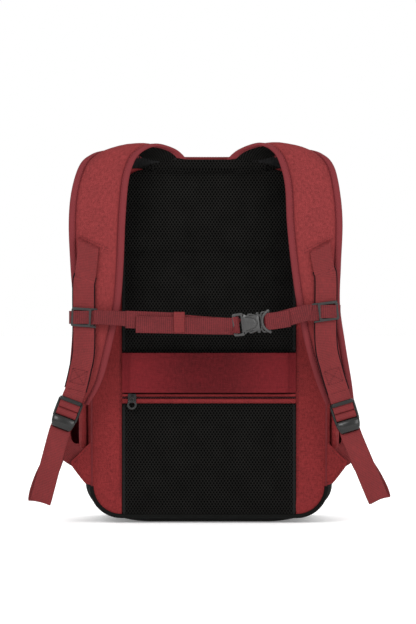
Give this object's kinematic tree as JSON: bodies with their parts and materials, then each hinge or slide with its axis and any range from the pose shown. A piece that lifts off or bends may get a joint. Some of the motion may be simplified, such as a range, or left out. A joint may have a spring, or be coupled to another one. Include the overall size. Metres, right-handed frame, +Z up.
{
  "type": "travel backpack",
  "caption": "Upright soft backpack with a padded harness, buckled chest strap, ladder-lock adjusters, trolley band, bottle pockets and a clamshell front.",
  "frame": {"origin": "middle of the flat underside of the base", "axes": "+Z up, -Y is the harness side that lies on the wearer's back, +X is to the right of somebody facing the harness"},
  "size_m": [0.4308, 0.2608, 0.4591],
  "materials": {
    "red_fabric": "matt heathered woven polyester",
    "red_webbing": "ribbed woven webbing, slight sheen",
    "black_spacer_mesh": "matt spacer mesh",
    "black_fabric": "matt coated fabric",
    "black_plastic": "satin moulded acetal",
    "black_metal": "semi-gloss black"
  },
  "bodies": {
    "bag": {"rear_shell": "red_fabric", "base_boot": "black_fabric", "back_panel": "red_fabric", "main_zip_rear_chain": "black_fabric", "back_pad_upper": "black_spacer_mesh", "back_pad_middle": "black_spacer_mesh", "back_pad_lower": "black_spacer_mesh", "trolley_band": "red_fabric", "rear_zip_tape": "red_fabric", "back_board": "black_fabric", "laptop_sleeve": "black_fabric", "strap_yoke": "black_fabric", "side_pocket_left": "red_fabric", "side_pocket_right": "red_fabric", "wing_left": "red_fabric", "wing_right": "red_fabric"},
    "front_lid": {"front_panel": "red_fabric", "front_pocket": "red_fabric", "front_zip_tape": "black_fabric", "main_zip_front_chain": "black_fabric"},
    "harness": {"strap_left": "red_fabric", "strap_right": "red_fabric", "strap_webbing_left": "red_webbing", "strap_webbing_right": "red_webbing", "adjuster_webbing_left": "red_webbing", "adjuster_webbing_right": "red_webbing"},
    "chest_strap": {"sternum_slider_left": "black_plastic", "sternum_slider_right": "black_plastic", "sternum_webbing_left": "red_webbing", "sternum_webbing_right": "red_webbing", "elastic_keeper": "red_webbing", "buckle_socket": "black_plastic"},
    "plug": {"buckle_plug": "black_plastic"},
    "lock_left": {"ladder_lock_left": "black_plastic", "adjuster_tail_left": "red_webbing"},
    "lock_right": {"ladder_lock_right": "black_plastic", "adjuster_tail_right": "red_webbing"},
    "handle": {"grab_handle": "red_webbing"},
    "rear_slider": {"rear_zip_slider": "black_metal"},
    "rear_pull": {"rear_zip_pull": "black_plastic"},
    "main_slider_a": {"main_zip_slider_a": "black_metal"},
    "main_pull_a": {"main_zip_pull_a": "black_plastic"},
    "main_slider_b": {"main_zip_slider_b": "black_metal"},
    "main_pull_b": {"main_zip_pull_b": "black_plastic"},
    "front_slider": {"front_zip_slider": "black_metal"},
    "front_pull": {"front_zip_pull": "black_plastic"}
  },
  "joints": [
    {"name": "lid_open", "type": "hinge", "parent": "bag", "child": "front_lid", "pos_m": [0, 0.092, 0.048], "axis": [-1, 0, 0], "range_deg": [0, 90]},
    {"name": "harness_swing", "type": "hinge", "parent": "bag", "child": "harness", "pos_m": [0, -0.092, 0.433], "axis": [-1, 0, 0], "range_deg": [0, 12], "deforming": ["adjuster_webbing_left", "adjuster_webbing_right"]},
    {"name": "chest_strap_height", "type": "slide", "parent": "harness", "child": "chest_strap", "axis": [0, 0, 1], "range_m": [-0.024, 0.024]},
    {"name": "buckle_release", "type": "slide", "parent": "chest_strap", "child": "plug", "axis": [0.9936, 0, 0.1132], "range_m": [0, 0.019], "deforming": ["sternum_webbing_right"]},
    {"name": "lock_tilt_left", "type": "hinge", "parent": "harness", "child": "lock_left", "pos_m": [-0.1644, -0.134, 0.1484], "axis": [-0.9336, 0, 0.3584], "range_deg": [0, 35], "deforming": ["adjuster_tail_left"]},
    {"name": "lock_tilt_right", "type": "hinge", "parent": "harness", "child": "lock_right", "pos_m": [0.1585, -0.134, 0.1456], "axis": [-0.9563, 0, -0.2924], "range_deg": [0, 35], "deforming": ["adjuster_tail_right"]},
    {"name": "handle_lift", "type": "hinge", "parent": "bag", "child": "handle", "pos_m": [0, -0.078, 0.4413], "axis": [1, 0, 0], "range_deg": [0, 90]},
    {"name": "rear_zip", "type": "slide", "parent": "bag", "child": "rear_slider", "axis": [1, 0, 0], "range_m": [0, 0.186]},
    {"name": "rear_pull_swing", "type": "hinge", "parent": "rear_slider", "child": "rear_pull", "pos_m": [-0.093, -0.096, 0.1502], "axis": [-1, 0, 0], "range_deg": [0, 100]},
    {"name": "main_zip_a", "type": "slide", "parent": "front_lid", "child": "main_slider_a", "axis": [-1, 0, 0], "range_m": [0, 0.08]},
    {"name": "main_pull_lift_a", "type": "hinge", "parent": "main_slider_a", "child": "main_pull_a", "pos_m": [-0.007, 0.0356, 0.4418], "axis": [1, 0, 0], "range_deg": [0, 90]},
    {"name": "main_zip_b", "type": "slide", "parent": "front_lid", "child": "main_slider_b", "axis": [1, 0, 0], "range_m": [0, 0.08]},
    {"name": "main_pull_lift_b", "type": "hinge", "parent": "main_slider_b", "child": "main_pull_b", "pos_m": [0.007, 0.0356, 0.4418], "axis": [1, 0, 0], "range_deg": [0, 90]},
    {"name": "front_zip", "type": "slide", "parent": "front_lid", "child": "front_slider", "axis": [1, 0, 0], "range_m": [0, 0.184]},
    {"name": "front_pull_swing", "type": "hinge", "parent": "front_slider", "child": "front_pull", "pos_m": [-0.092, 0.1006, 0.318], "axis": [1, 0, 0], "range_deg": [0, 100]}
  ]
}
